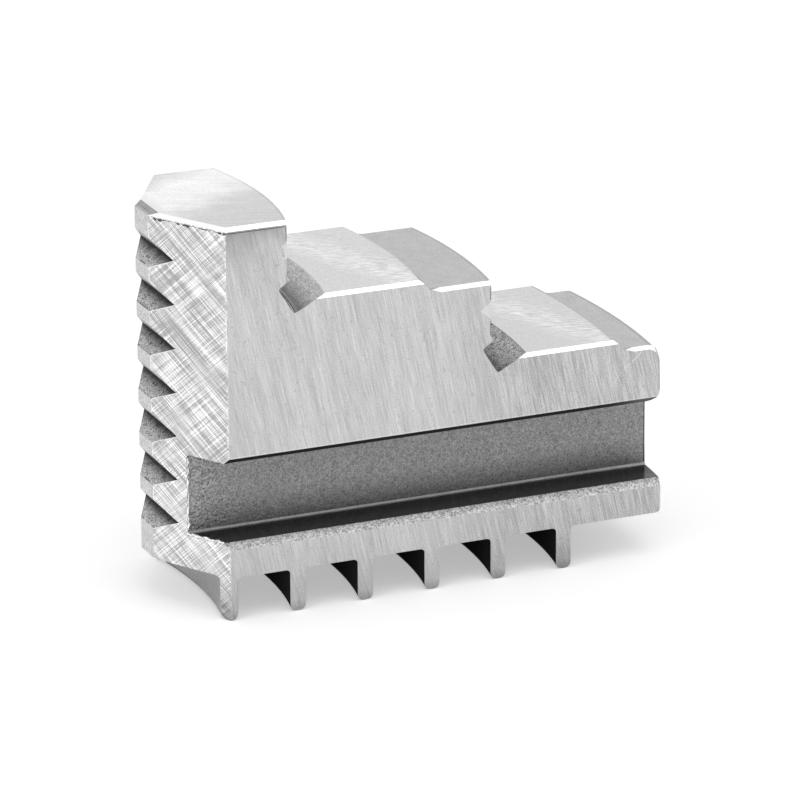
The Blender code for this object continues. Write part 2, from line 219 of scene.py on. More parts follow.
normal, centre = face_arrays(jaw.data)
nx, ny, nz = normal.T
cx, cy, cz = centre.T
ay = np.abs(cy)
radius = np.hypot(cx - AXIS_X, cy)
flat_up = nz > 0.999
above_guide = cz > GUIDE_TOP_Z
in_groove = between(cz, RAIL_TOP_Z, GUIDE_TOP_Z)
below_rail = cz < RAIL_BOTTOM_Z - 0.02
print(len(nx), "faces read")

# %% Sort the faces into finishes
def level_with(height, slack=0.05):
    """True for faces whose centre is at a height."""
    return np.abs(cz - height) < slack


def in_undercut(inner, outer, seat):
    """True for the leaning faces of the slot between two radii, above and below its seat."""
    return above_guide & between(radius, inner, outer) & between(cz, seat - 2.4, seat + 2.6) & ~flat_up


tests = [
    ("milled", np.full(len(nx), True)),
    ("turned_wall", above_guide & (np.abs(nz) < 0.3)),
    ("rear_wall", (cx > 24) & (nx > 0.5)),
    ("undercut", in_undercut(43.0, 48.6, MIDDLE_SEAT_Z) | in_undercut(66.5, 72.1, LOW_SEAT_Z)),
    ("bright_chamfer", above_guide & between(nz, 0.55, 0.9)),
    ("shoulder", above_guide & between(nz, 0.6, 0.8) & (nx > 0.6) & (cx < 25)),
    ("plain_relief", flat_up & above_guide),
    ("ground_top", flat_up & level_with(TOP_Z)),
    ("ground_seat", flat_up & (level_with(MIDDLE_SEAT_Z) | level_with(LOW_SEAT_Z))),
    ("plain_relief", above_guide & (nz > 0.9) & (cx > 24)),
    ("nose_flat", (nx < -0.99) & (cx < NOSE_X + 0.15)),
    ("nose_facet", (cz > TOP_Z - 0.7) & (nx < -0.3) & (nz > 0.85)),
    ("ground_wedge", (np.abs(nz) < 0.05) & (nx < -0.8) & (np.abs(ny) > 0.4)),
    ("serration", (cx < -26.9) & (np.abs(ny) < 0.05) & (np.abs(nz) > 0.3) & (cz < 42) & ~below_rail),
    ("ground_side", (np.abs(ny) > 0.999) & (ay > HALF_WIDTH - 0.1)),
    ("blasted_web", (np.abs(nx) < 0.1) & (np.abs(ny) > 0.3) & (ay < HALF_WEB + 0.5) & in_groove),
    ("web_root", (np.abs(ny) > 0.1) & between(ay, HALF_WEB - 0.01, HALF_WEB + 0.4) & between(cz, 8.8, 9.2)),
    ("polished_ledge", flat_up & level_with(RAIL_TOP_Z)),
    ("dark_underside", (nz < -0.5) & level_with(GUIDE_TOP_Z, 0.8) & (ay > HALF_WEB + 0.2)),
    ("rough_rail_edge", between(nz, 0.5, 0.9) & between(cz, 7.9, 8.9) & (ay > 10)),
    ("milled", (nz < -0.99) & level_with(RAIL_BOTTOM_Z, 0.1)),
    ("tooth_flank", below_rail & (np.abs(ny) < 0.99)),
    ("first_tooth", below_rail & (cx < -22.4) & (nx < -0.3) & (np.abs(nz) < 0.5)),
    ("ground_wedge", below_rail & between(nx, -0.88, -0.85) & (np.abs(nz) < 0.01)),
]
FINISHES = list(dict.fromkeys(name for name, chosen in tests))
finish = np.zeros(len(nx), dtype=np.int32)
for name, chosen in tests:
    finish[chosen] = FINISHES.index(name)
print({name: int((finish == index).sum()) for index, name in enumerate(FINISHES)})

# %% [markdown]
# ## Thinner chamfers
#
# The modelled chamfers are half a millimetre high. On the photographed jaw they are a little thinner,
# so their lower lines are moved up on this copy.

# %% Thin the bright chamfers
CHAMFER_HEIGHT = 0.5
CHAMFER_LIFT = 0.13
ON_LINE = 0.02

spots = np.empty(len(jaw.data.vertices) * 3)
jaw.data.vertices.foreach_get("co", spots)
spots = spots.reshape(-1, 3) / MM
levels = np.array([TOP_Z, MIDDLE_SEAT_Z, LOW_SEAT_Z, MIDDLE_SEAT_Z - RELIEF_DROP, LOW_SEAT_Z - RELIEF_DROP])
under = np.abs(spots[:, 2:] - (levels - CHAMFER_HEIGHT)).min(axis=1) < ON_LINE
outside = (np.abs(spots[:, 1]) > HALF_WIDTH - ON_LINE) | (spots[:, 2] > TOP_Z - 1)
spots[under & outside, 2] += CHAMFER_LIFT
jaw.data.vertices.foreach_set("co", spots.ravel() * MM)
jaw.data.update()
print(int((under & outside).sum()), "vertices moved up by", CHAMFER_LIFT, "mm")

# %% [markdown]
# ## Patterns for steel
#
# The finishes are told apart by their marks: grinding leaves fine lines, all one way, and shot
# blasting or a furnace leaves an even grain. Real wheel lines are a few hundredths of a millimetre
# wide, too fine for this picture, so they are drawn about a tenth of a millimetre wide. Patterns
# start from object coordinates, which stay with the steel when the camera moves.

# %% Places and measures for a pattern
def object_place(tree):
    """Object position as it is."""
    return add(tree, "ShaderNodeTexCoord").outputs["Object"]


def folded_place(tree):
    """Object position with Y folded to one side, so that both sides of the jaw carry the same work."""
    parts = add(tree, "ShaderNodeSeparateXYZ", {0: object_place(tree)})
    across = add(tree, "ShaderNodeMath", {0: parts.outputs["Y"]}, operation="ABSOLUTE").outputs[0]
    whole = {"X": parts.outputs["X"], "Y": across, "Z": parts.outputs["Z"]}
    return add(tree, "ShaderNodeCombineXYZ", whole).outputs[0]


def measure(tree, at, direction):
    """Distance of a place along a direction, in millimetres."""
    per_mm = [part / MM for part in direction]
    return add(tree, "ShaderNodeVectorMath", {0: at, 1: per_mm}, operation="DOT_PRODUCT").outputs[1]


def from_chuck_axis(tree, at):
    """Distance of a place from the chuck's axis, in millimetres: its length once height is left out."""
    shifted = add(tree, "ShaderNodeVectorMath", {0: at, 1: (-AXIS_X * MM, 0, 0)}, operation="ADD")
    level_part = {0: shifted.outputs["Vector"], 1: (1 / MM, 1 / MM, 0)}
    flat = add(tree, "ShaderNodeVectorMath", level_part, operation="MULTIPLY")
    return add(tree, "ShaderNodeVectorMath", {0: flat.outputs["Vector"]}, operation="LENGTH").outputs[1]


print("places ready")

# %% Sums, products and broken lines
def together(tree, operation, values):
    """Two or more values joined by one operation."""
    result = values[0]
    for value in values[1:]:
        result = add(tree, "ShaderNodeMath", {0: result, 1: value}, operation=operation).outputs[0]
    return result


def total(tree, *values):
    """Sum of the values."""
    return together(tree, "ADD", values)


def product(tree, *values):
    """Product of the values."""
    return together(tree, "MULTIPLY", values)


def greatest(tree, *values):
    """Greatest of the values."""
    return together(tree, "MAXIMUM", values)


def profile(tree, value, stops):
    """A line through (value, result) points, level past both ends: each stretch adds its own rise."""
    rises = []
    for (start, low), (end, high) in zip(stops, stops[1:]):
        limits = {"Value": value, "From Min": start, "From Max": end, "To Max": high - low}
        rises.append(add(tree, "ShaderNodeMapRange", limits).outputs["Result"])
    return total(tree, *rises, stops[0][1])


print("arithmetic ready")

# %% [markdown]
# ## Noise as grain and as lines
#
# Both kinds of mark are noise. Grain is noise as it comes. A line is noise stretched along the wheel's
# path, by measuring the place across and along that path in two different units.

# %% Grain, streaks and pits
def grain(tree, at, size, detail=2.0):
    """Even noise whose lumps are size millimetres across."""
    settings = {"Vector": at, "Scale": 1 / (size * MM), "Detail": detail, "Roughness": 0.6}
    return add(tree, "ShaderNodeTexNoise", settings).outputs[0]


def streaks(tree, at, across, along, width, length, detail=2.0, offset=0.0):
    """Noise drawn out into lines, width and length millimetres in size; offset gives other lines."""
    flat = {"X": measure(tree, at, [part / width for part in across]),
            "Y": measure(tree, at, [part / length for part in along]), "Z": offset}
    vector = add(tree, "ShaderNodeCombineXYZ", flat).outputs[0]
    settings = {"Vector": vector, "Scale": 1.0, "Detail": detail, "Roughness": 0.6}
    return add(tree, "ShaderNodeTexNoise", settings).outputs[0]


def mixture(tree, at, middle, *parts):
    """middle plus every noise's distance from its own middle, one half, times its weight.
    A part is a noise and its weight, or a grain's size and its weight."""
    noises = [grain(tree, at, part) if isinstance(part, float) else part for part, weight in parts]
    weighed = [product(tree, noise, weight) for noise, (part, weight) in zip(noises, parts)]
    return total(tree, *weighed, middle - 0.5 * sum(weight for part, weight in parts))


def pits(tree, at, size, share, floor):
    """1, but down to floor in a share of small separate spots, where the peaks of a noise are."""
    edge = 0.5 + 0.13 * (1 - 2 * share) ** 3 + 0.05
    return profile(tree, grain(tree, at, size, 1.0), [(edge, 1.0), (edge + 0.05, floor)])


def sway(tree, at, size, most, detail=1.0):
    """A soft random shift from -most to most, for a border that isn't straight."""
    return profile(tree, grain(tree, at, size, detail), [(0.3, -most), (0.7, most)])


def fine_grain(size, weight=1.6):
    """Gives a tone function: a grain of size millimetres with a softer one nine times as large."""
    def tone(tree, at):
        coarse = grain(tree, at, 9 * size, 1.0)
        return mixture(tree, at, 0.5, (size, weight), (coarse, 0.5))
    return tone


print("noises ready")

# %% [markdown]
# ## One recipe for every steel
#
# All the finishes are bare steel, fully metallic. They differ in how light and how rough the steel is
# and in the marks it carries, so one function makes them all from those.

# %% The recipe
def steel(name, dark, light, tone, shade=None, height=None, where=folded_place, roughness=0.5, bump=0.3,
          depth=0.02, edge_tint="#ffffff"):
    """A metallic material: tone runs from dark to light, shade darkens it by place, height is its bump.

    tone, shade and height are functions of the node tree and of the place that where gives.
    Without a height of its own, the tone is the height too. depth is the bump's, in millimetres.
    edge_tint is the colour of its glancing reflections, which scale and oil take away.
    """
    material, tree, shader = new_material(name)
    at = where(tree)
    grey = tone(tree, at)
    ends = {"Factor": grey, "A": linear(dark), "B": linear(light)}
    colour = add(tree, "ShaderNodeMix", ends, data_type="RGBA").outputs["Result"]
    if shade:
        scaled = {0: colour, "Scale": shade(tree, at)}
        colour = add(tree, "ShaderNodeVectorMath", scaled, operation="SCALE").outputs["Vector"]
    tree.links.new(colour, shader.inputs["Base Color"])
    shader.inputs["Metallic"].default_value = 1.0
    shader.inputs["Roughness"].default_value = roughness
    shader.inputs["Specular Tint"].default_value = linear(edge_tint)
    relief = height(tree, at) if height else grey
    marks = add(tree, "ShaderNodeBump", {"Strength": bump, "Distance": depth * MM, "Height": relief})
    tree.links.new(marks.outputs["Normal"], shader.inputs["Normal"])
    return material


made = {}
print("recipe ready")

# %% [markdown]
# ## Marks that belong to one place
#
# Scratches near the rear are bright lines. Along the rear edges of the steps a dark line is painted, as
# the dark reflection of each edge's small round, but for two places where the edge is chipped and a
# painted highlight makes it bright. Each line is written as two points of the side, seen square on, and
# its half width.

# %% Marks on the sides
SCRATCHES = [((25.8, 24.25), (24.5, 23.1), 0.1), ((24.55, 23.15), (23.4, 22.3), 0.075),
             ((23.3, 22.2), (22.0, 20.6), 0.05), ((25.7, 21.6), (26.1, 20.2), 0.05),
             ((23.6, 21.9), (24.6, 19.4), 0.04), ((22.4, 22.6), (23.6, 20.0), 0.04),
             ((-23.5, 18.75), (27.6, 18.75), 0.04)]
# Edges that get a painted dark line: the dark reflection of their small round.
SHADED_EDGES = [((-16.62, 42.45), (-16.62, 44.2), 0.1), ((-23.5, 44.12), (-16.7, 44.12), 0.07),
          ((7.38, 32.6), (7.38, 34.2), 0.1), ((7.38, 28.5), (7.38, 30.35), 0.09),
          ((27.98, 19.4), (27.94, 23.4), 0.08), ((-16.6, 37.6), (-16.6, 39.2), 0.05)]
CHIP_TIP = (6.1, 31.5)
CHIP_SLOPE = 0.76
CHIP_END_X = 7.6
WORN_EDGE = (-16.95, 40.4, 42.35)
WORN_END_X = -16.0
FADE = 0.15


def line_mask(tree, at, start, end, width):
    """1 on a line of the X-Z plane between two points, falling to 0 at width beside it."""
    start, end = np.array(start), np.array(end)
    length = np.linalg.norm(end - start)
    way = (end - start) / length
    side = np.array([-way[1], way[0]])
    along = total(tree, measure(tree, at, (way[0], 0, way[1])), -float(start @ way))
    across = total(tree, measure(tree, at, (side[0], 0, side[1])), -float(start @ side))
    beside = add(tree, "ShaderNodeMath", {0: across}, operation="ABSOLUTE").outputs[0]
    begun = profile(tree, along, [(0.0, 0.0), (FADE, 1.0)])
    ended = profile(tree, along, [(length - FADE, 1.0), (length, 0.0)])
    return product(tree, begun, ended, profile(tree, beside, [(0.4 * width, 1.0), (width, 0.0)]))


def lines_mask(tree, at, lines):
    """The strongest of several lines."""
    return greatest(tree, *[line_mask(tree, at, start, end, width) for start, end, width in lines])


def chip_mask(tree, rearward, up):
    """1 in the chip on the second step's rear edge: a wedge that widens by CHIP_SLOPE from its tip."""
    inward = product(tree, total(tree, rearward, -CHIP_TIP[0]), CHIP_SLOPE)
    off_middle = {0: total(tree, up, -CHIP_TIP[1])}
    beside = add(tree, "ShaderNodeMath", off_middle, operation="ABSOLUTE").outputs[0]
    inside = profile(tree, total(tree, inward, product(tree, beside, -1.0)), [(-0.02, 0.0), (0.06, 1.0)])
    on_step = add(tree, "ShaderNodeMath", {0: rearward, 1: CHIP_END_X}, operation="LESS_THAN").outputs[0]
    return product(tree, inside, on_step)


def worn_mask(tree, at, rearward, up):
    """1 on a ragged strip beside the tall step's rear edge, between two heights."""
    edge, low, high = WORN_EDGE
    ragged = total(tree, rearward, sway(tree, at, 0.7, 0.5, 2.0))
    strip = profile(tree, ragged, [(edge - 0.05, 0.0), (edge + 0.05, 1.0)])
    on_step = add(tree, "ShaderNodeMath", {0: rearward, 1: WORN_END_X}, operation="LESS_THAN").outputs[0]
    heights = profile(tree, up, [(low, 0.0), (low + 0.2, 1.0), (high - 0.2, 1.0), (high, 0.0)])
    return product(tree, strip, on_step, heights)


def nicks_and_glints(tree, at):
    """1 on the chip, on the worn edge and in dots of burr beside the wedge: painted highlights where they
    catch the light.
    """
    rearward = measure(tree, at, (1, 0, 0))
    up = measure(tree, at, (0, 0, 1))
    dots = product(tree, profile(tree, grain(tree, at, 0.24), [(0.5, 0.0), (0.56, 1.0)]),
                   profile(tree, rearward, [(SIDE_START_X + 0.09, 1.0), (SIDE_START_X + 0.17, 0.0)]))
    return greatest(tree, dots, chip_mask(tree, rearward, up), worn_mask(tree, at, rearward, up))


print(len(SCRATCHES), "scratches and", len(SHADED_EDGES), "stoned edges")

# %% [markdown]
# ## Ground sides
#
# The two sides were surface ground with a coarse wheel, with lines that lean 12 degrees from upright.
# They read as an even light grey with fine slanted streaks. The tall step is darker just under its
# chamfer, and the rear third and the rail are a little darker than the middle.

# %% Finish: ground sides
SIDE_LEAN = math.radians(12.3)
SIDE_ALONG = (math.sin(SIDE_LEAN), 0, -math.cos(SIDE_LEAN))
SIDE_ACROSS = (math.cos(SIDE_LEAN), 0, math.sin(SIDE_LEAN))


def side_lines(tree, at):
    """Fine lines with a few broader and longer ones, a faint grain, small pits, bright scratches and
    painted highlights.
    """
    fine = streaks(tree, at, SIDE_ACROSS, SIDE_ALONG, 0.085, 3.0)
    middle = streaks(tree, at, SIDE_ACROSS, SIDE_ALONG, 0.3, 8, 1.0, 7.0)
    broad = streaks(tree, at, SIDE_ACROSS, SIDE_ALONG, 1.4, 16, 1.0, 3.0)
    lines = mixture(tree, at, 0.0, (fine, 1.35), (middle, 0.7), (broad, 0.5), (0.14, 1.2))
    rougher = profile(tree, measure(tree, at, (1, 0, 0)), [(-24.0, 1.05), (4.0, 1.1), (14.0, 1.9)])
    rough = total(tree, product(tree, lines, rougher), 0.5)
    pitted = product(tree, rough, pits(tree, at, 0.5, 0.02, 0.55))
    scratched = product(tree, lines_mask(tree, at, SCRATCHES), 0.8)
    # the chip, the worn edge and the burr dots are lifted by painted highlights
    return total(tree, pitted, greatest(tree, scratched, product(tree, nicks_and_glints(tree, at), 0.6)))


def side_shade(tree, at):
    """Darker under the tall step's chamfer, on the rear third, on the rail and towards the tooth tips."""
    up = measure(tree, at, (0, 0, 1))
    rearward = measure(tree, at, (1, 0, 0))
    to_nose = profile(tree, rearward, [(-23.6, 0.0), (-17, -1.3)])
    leaning = total(tree, up, sway(tree, at, 2.5, 0.6), to_nose)
    tall = profile(tree, leaning, [(37.0, 1.0), (41.5, 0.88), (43.0, 0.72), (44.1, 0.58)])
    rear = profile(tree, rearward, [(1.0, 1.0), (10.0, 0.885)])
    low = profile(tree, up, [(0.2, 0.55), (1.2, 0.78), (4.9, 0.9), (8.1, 0.93), (10.0, 1.0)])
    # painted dark reflections along the listed edges
    shaded = profile(tree, lines_mask(tree, at, SHADED_EDGES), [(0.0, 1.0), (1.0, 0.3)])
    return product(tree, tall, rear, low, shaded)


# Hardened steel, surface ground: light grey with slanted streaks and a soft sheen.
made["ground_side"] = steel(
    "ground_steel_side", "#aeaeae", "#e0e0e0", side_lines, side_shade, roughness=0.45, bump=0.25,
    depth=0.015)
print("side lines lean", round(math.degrees(SIDE_LEAN), 1), "degrees")

# %% [markdown]
# ## Cross hatched wedge
#
# The nose wedge was ground with the face of a cup wheel, which leaves two sets of arcs crossing at
# about 80 degrees. It is the brightest face: nearly white, with fine grey scratches both ways that
# gather into grey patches and broad bands.

# %% Finish: cross hatched wedge
COS_30 = math.sqrt(0.75)
WEDGE_LEVEL = np.array([0.5, COS_30, 0.0])
WEDGE_UPRIGHT = np.array([0.0, 0.0, 1.0])
HATCHES = [(-38.6, 3.8, 1.8), (40.2, 2.9, 0.4)]


def hatch(tree, at):
    """Two crossing sets of lines, each fine and broad, added up. The far wedge has lines of its own."""
    far = profile(tree, measure(tree, object_place(tree), (0, 1, 0)), [(-0.01, 0.0), (0.01, 40.0)])
    parts = []
    for number, (angle, fine, broad) in enumerate(HATCHES):
        way = math.radians(angle)
        along = math.cos(way) * WEDGE_LEVEL + math.sin(way) * WEDGE_UPRIGHT
        across = math.cos(way) * WEDGE_UPRIGHT - math.sin(way) * WEDGE_LEVEL
        fine_offset = total(tree, far, 3.0 * number)
        broad_offset = total(tree, far, 11.0 + number)
        parts.append((streaks(tree, at, across, along, 0.105, 7, 1.6, fine_offset), fine))
        parts.append((streaks(tree, at, across, along, 0.9, 16, 2.0, broad_offset), broad))
    patches = grain(tree, at, 2.4, 1.0)
    lighter_low = profile(tree, measure(tree, at, (0, 0, 1)), [(9.0, 0.1), (18.0, 0.0)])
    return total(tree, mixture(tree, at, 0.33, *parts, (0.16, 0.5), (patches, 0.6)), lighter_low)


def wedge_shade(tree, at):
    """Darker down the first tooth, a little down the whole wedge, and in the corner under the nose."""
    corner = profile(tree, measure(tree, at, (0, 0.8, 0.6)), [(6.6, 0.92), (7.3, 1.0)])
    stops = [(0.3, 0.5), (2.5, 0.72), (5.0, 0.98), (12.0, 1.0), (20.0, 0.94), (40.0, 0.94)]
    return product(tree, profile(tree, measure(tree, at, (0, 0, 1)), stops), corner)


# Hardened steel, cup-wheel ground: nearly white, with grey scratches both ways.
made["ground_wedge"] = steel(
    "ground_steel_cross_hatch", "#a6a6a6", "#ffffff", hatch, wedge_shade, roughness=0.4, depth=0.015)
print("hatch lines at", [angle for angle, fine, broad in HATCHES], "degrees")

# %% [markdown]
# ## Top of the tall step
#
# The top was ground lengthways, nearly to a mirror. It shines at its far side and falls to grey at the
# near corner, and that fall is a painted reflection in the steel's tone.

# %% Finish: ground top
LENGTHWAYS = (0.91, -0.41, 0)
SIDEWAYS = (0.41, 0.91, 0)
FALL_AWAY = (0.505, -0.864, 0)
TOP_PAINTED_SHEEN = [(-21.0, 0.7), (-17.0, 1.0), (-13.0, 0.98), (-11.0, 0.9), (-9.3, 0.77), (-8.0, 0.7),
            (-2.0, 0.67)]


def top_lines(tree, at):
    """Fine lengthways lines of several widths."""
    fine = streaks(tree, at, SIDEWAYS, LENGTHWAYS, 0.16, 5)
    broad = streaks(tree, at, SIDEWAYS, LENGTHWAYS, 0.7, 9, 1.0, 5.0)
    return mixture(tree, at, 0.5, (fine, 2.0), (broad, 1.0), (0.24, 2.6))


def top_painted_sheen(tree, at):
    """Painted sheen: bright at the far side, falling to grey towards the near corner and at the very nose.
    """
    away = total(tree, measure(tree, at, FALL_AWAY), sway(tree, at, 3, 1.0))
    # the fall from the far side to the near corner is a painted reflection of the bright surroundings
    falling = profile(tree, away, TOP_PAINTED_SHEEN)
    nose = profile(tree, measure(tree, at, (1, 0, 0)), [(-28.6, 0.82), (-26.5, 1.0)])
    rim = profile(tree, from_chuck_axis(tree, at), [(44.05, 1.0), (44.2, 0.84)])
    return product(tree, falling, nose, rim)


# Hardened steel, finely ground: almost white, with a soft broad painted highlight.
made["ground_top"] = steel(
    "ground_steel_top", "#e9e9e9", "#ffffff", top_lines, top_painted_sheen, where=object_place, roughness=0.34,
    bump=0.15, depth=0.01)
print("top falls from", TOP_PAINTED_SHEEN[1][1], "to", TOP_PAINTED_SHEEN[-1][1])

# %% [markdown]
# ## Seats and reliefs
#
# The seats were ground like the top, and carry short ripples where the wheel rang, in a band that runs
# slantwise over each seat. The reliefs behind the seats weren't ground again, and stay a plain matt
# grey. Dark hairlines lie where each of these faces ends.

# %% Finish: seats and reliefs
SEAT_SPACING = 22.1
SEAT_RIMS = [(59.4, 1.0), (59.5, 0.9), (61.0, 0.96), (82.4, 0.96), (82.5, 0.69)]
RELIEF_RIMS = [(67.5, 1.0), (67.65, 0.84), (70.0, 1.0), (86.9, 1.0), (87.1, 0.76)]


def seat_band(tree, at, stops):
    """A line through stops across each seat's band: the slanted distance, started again for each seat."""
    across = total(tree, measure(tree, at, (0.94, 0.34, 0)), SEAT_SPACING)
    on_seat = add(tree, "ShaderNodeMath", {0: across, 1: SEAT_SPACING}, operation="MODULO").outputs[0]
    return profile(tree, on_seat, stops)


def seat_lines(tree, at):
    """A faint grain, and short ripples where the band lies."""
    fine = streaks(tree, at, SIDEWAYS, LENGTHWAYS, 0.18, 1.5, 1.0)
    ripples = streaks(tree, at, SIDEWAYS, LENGTHWAYS, 0.3, 1.9, 1.0, 9.0)
    both = mixture(tree, at, 0.0, (fine, 3.7), (ripples, 2.3))
    strength = seat_band(tree, at, [(13.6, 0.12), (15.0, 0.5), (16.4, 1.0), (18.4, 1.0), (20.5, 0.35)])
    rippled = total(tree, product(tree, both, strength), 0.5)
    return total(tree, rippled, mixture(tree, at, 0.0, (0.2, 1.5)))


def rim_lines(tree, stops):
    """Dark hairlines where an upper face ends: at arcs about the chuck's axis and beside the long edges."""
    at = folded_place(tree)
    arcs = profile(tree, from_chuck_axis(tree, at), stops)
    beside = measure(tree, at, (0, 1, 0))
    return product(tree, arcs, profile(tree, beside, [(HALF_WIDTH - 0.62, 1.0), (HALF_WIDTH - 0.5, 0.8)]))


def seat_shade(tree, at):
    """Brightest along the band, with hairlines at the seats' rear arcs."""
    band = seat_band(tree, at, [(13.6, 0.88), (15.0, 0.93), (16.6, 1.02), (18.0, 0.98), (20.5, 0.88)])
    return product(tree, band, rim_lines(tree, SEAT_RIMS))


def relief_shade(tree, at):
    """Plain, with hairlines at the rear arcs."""
    return rim_lines(tree, RELIEF_RIMS)


# Hardened steel, finely ground: light grey with a brighter rippled band.
made["ground_seat"] = steel(
    "ground_steel_seat", "#cecece", "#f2f2f2", seat_lines, seat_shade, where=object_place, roughness=0.38,
    bump=0.25)
# Milled and hardened steel: an even matt grey.
made["plain_relief"] = steel(
    "milled_steel_relief", "#aaaaaa", "#cecece", fine_grain(0.16, 1.9), relief_shade,
    height=fine_grain(0.2), depth=0.01)
print("seat band repeats every", SEAT_SPACING, "mm")

# %% [markdown]
# ## Chamfers and turned walls
#
# The chamfers were ground last and face the light, so they read as white lines. The walls behind the
# steps, the shoulders and the rear were turned round the chuck's axis, and keep fine level tool lines.

# %% Finish: chamfers and turned walls
def turned_lines(tree, at):
    """Fine level lines, as a turning tool leaves them round the chuck's axis, over a grain."""
    lines = streaks(tree, at, (0, 0, 1), (0, 1, 0), 0.14, 12, 1.0)
    soft = grain(tree, at, 2.2, 1.0)
    return mixture(tree, at, 0.5, (lines, 1.7), (0.25, 0.8), (soft, 0.5))


# Freshly ground steel: white and smooth.
made["bright_chamfer"] = steel(
    "ground_steel_chamfer", "#fafafa", "#ffffff", fine_grain(0.3), roughness=0.3, bump=0.1, depth=0.01)
# Turned and hardened steel: mid grey with level lines, darker in the narrow shoulders.
made["shoulder"] = steel(
    "turned_steel_shoulder", "#8a8a8a", "#b0b0b0", turned_lines, roughness=0.42, bump=0.25, depth=0.015)
made["turned_wall"] = steel(
    "turned_steel_wall", "#9c9c9c", "#c4c4c4", turned_lines, roughness=0.42, bump=0.25, depth=0.015)
made["rear_wall"] = steel(
    "turned_steel_rear", "#989898", "#c0c0c0", turned_lines, roughness=0.45, bump=0.25, depth=0.015)
print("upper faces ready")

# %% [markdown]
# ## Nose
#
# The nose flat is ground but mottled, and its small top facet is a darker grey whose lower edge frays
# out. The faces inside the V serrations were milled and then hardened. They are light where they reach
# the nose and painted nearly black at the root, as shade in the hollow of each V.

# %% Finish: nose and serrations
def nose_tone(tree, at):
    """Blotches with short level scratches."""
    level_lines = streaks(tree, at, (0, 0, 1), (0, 1, 0), 0.16, 1.2)
    return mixture(tree, at, 0.55, (level_lines, 1.0), (0.5, 1.3), (0.13, 5.5))


def facet_tone(tree, at):
    """Dark grey that breaks up into light blotches near its lower edge."""
    low_edge = profile(tree, measure(tree, at, (1, 0, 0)), [(NOSE_X, 0.55), (NOSE_X + 0.4, 0.0)])
    blotches = mixture(tree, at, 0.25, (0.35, 0.9), (0.15, 2.1))
    return total(tree, low_edge, blotches)


def serration_tone(tree, at):
    """Grain with a few dark pits."""
    plain = mixture(tree, at, 0.6, (0.13, 4.0), (0.6, 1.2))
    return product(tree, plain, pits(tree, at, 0.35, 0.1, 0.1))


def serration_shade(tree, at):
    """Light at the nose, nearly black in the root: painted shade of the V's hollow."""
    inward = total(tree, measure(tree, at, (1, 0, 0)), sway(tree, at, 0.9, 0.12))
    return profile(tree, inward, [(-28.94, 0.3), (-28.84, 1.0), (-28.3, 0.9), (-27.8, 0.54), (-27.3, 0.12)])


# Hardened steel, rubbed bright by work: light and blotchy.
made["nose_flat"] = steel("ground_steel_nose", "#acacac", "#dcdcdc", nose_tone, roughness=0.42, depth=0.015)
# Milled and hardened steel: darker grey, frayed at the edge.
made["nose_facet"] = steel("milled_steel_facet", "#868686", "#d4d4d4", facet_tone)
# Milled and hardened steel with painted shade in its roots: light to black in under two millimetres.
made["serration"] = steel(
    "milled_steel_serration", "#545454", "#dcdcdc", serration_tone, serration_shade, bump=0.5)
print("nose finishes ready")

# %% [markdown]
# ## Undercuts
#
# The slots behind the steps were milled before hardening. Their ramps keep black pits and are grey
# where they open on to the seat, with painted shade that darkens them towards the bottom of the slot.
# The first slot is calmer.

# %% Finish: undercuts
FIRST_SLOT = [(45.3, 0.12), (45.37, 1.1), (45.5, 1.1), (45.6, 0.62), (46.3, 0.85), (47.2, 1.15),
              (48.7, 1.3)]
SECOND_SLOT = [(68.8, 0.45), (69.6, 0.66), (70.8, 0.95), (72.0, 1.05), (72.12, 0.7)]
BETWEEN_SLOTS = (50.0, 60.0)


def slot_tone(tree, at):
    """Grain with faint lines along the slot and black pits, coarser in the second slot."""
    outward = from_chuck_axis(tree, at)
    first, second = BETWEEN_SLOTS
    # outward is in millimetres already, so the size isn't to be turned into metres
    rings = grain(tree, add(tree, "ShaderNodeCombineXYZ", {"X": outward, "Y": 4.0}).outputs[0], 0.12 / MM)
    plain = mixture(tree, at, 0.0, (0.15, 3.6), (rings, 0.5), (1.2, 0.5))
    coarser = profile(tree, outward, [(first, 0.55), (second, 1.0)])
    uneven = total(tree, product(tree, plain, coarser), 0.5)
    shallowest = profile(tree, outward, [(first, 0.6), (second, -0.3)])
    return product(tree, uneven, greatest(tree, pits(tree, at, 0.3, 0.13, -0.3), shallowest))


def slot_shade(tree, at):
    """Painted shade: dark at the bottom to light up the ramp. The first slot's bottom shows as a dark line,
    its painted corner shadow, and a light line.
    """
    return profile(tree, from_chuck_axis(tree, at), FIRST_SLOT + SECOND_SLOT)


# Milled and hardened steel: grainy mid grey with black pits.
made["undercut"] = steel("milled_steel_undercut", "#545454", "#dadada", slot_tone, slot_shade, bump=0.5)
print("slot bottoms at radii", FIRST_SLOT[0][0], "and", SECOND_SLOT[0][0], "mm")

# %% [markdown]
# ## Web between the guide grooves
#
# The web keeps the grey of shot blasting: an even grain with dark specks, rougher towards the nose,
# where the blast hit square and left a skin like orange peel. Its root is a plain milled fillet.

# %% Finish: blasted web
def web_tone(tree, at):
    """Even grain with small dark specks, and larger lumps towards the nose."""
    peel = profile(tree, measure(tree, at, (1, 0, 0)), [(-25.0, 1.0), (-21.5, 0.3), (-15.0, 0.0)])
    lumps = mixture(tree, at, 0.1, (0.28, 2.2))
    plain = mixture(tree, at, 0.55, (0.15, 2.0), (0.6, 0.5))
    uneven = total(tree, plain, product(tree, lumps, peel))
    return product(tree, uneven, pits(tree, at, 0.3, 0.08, 0.3))


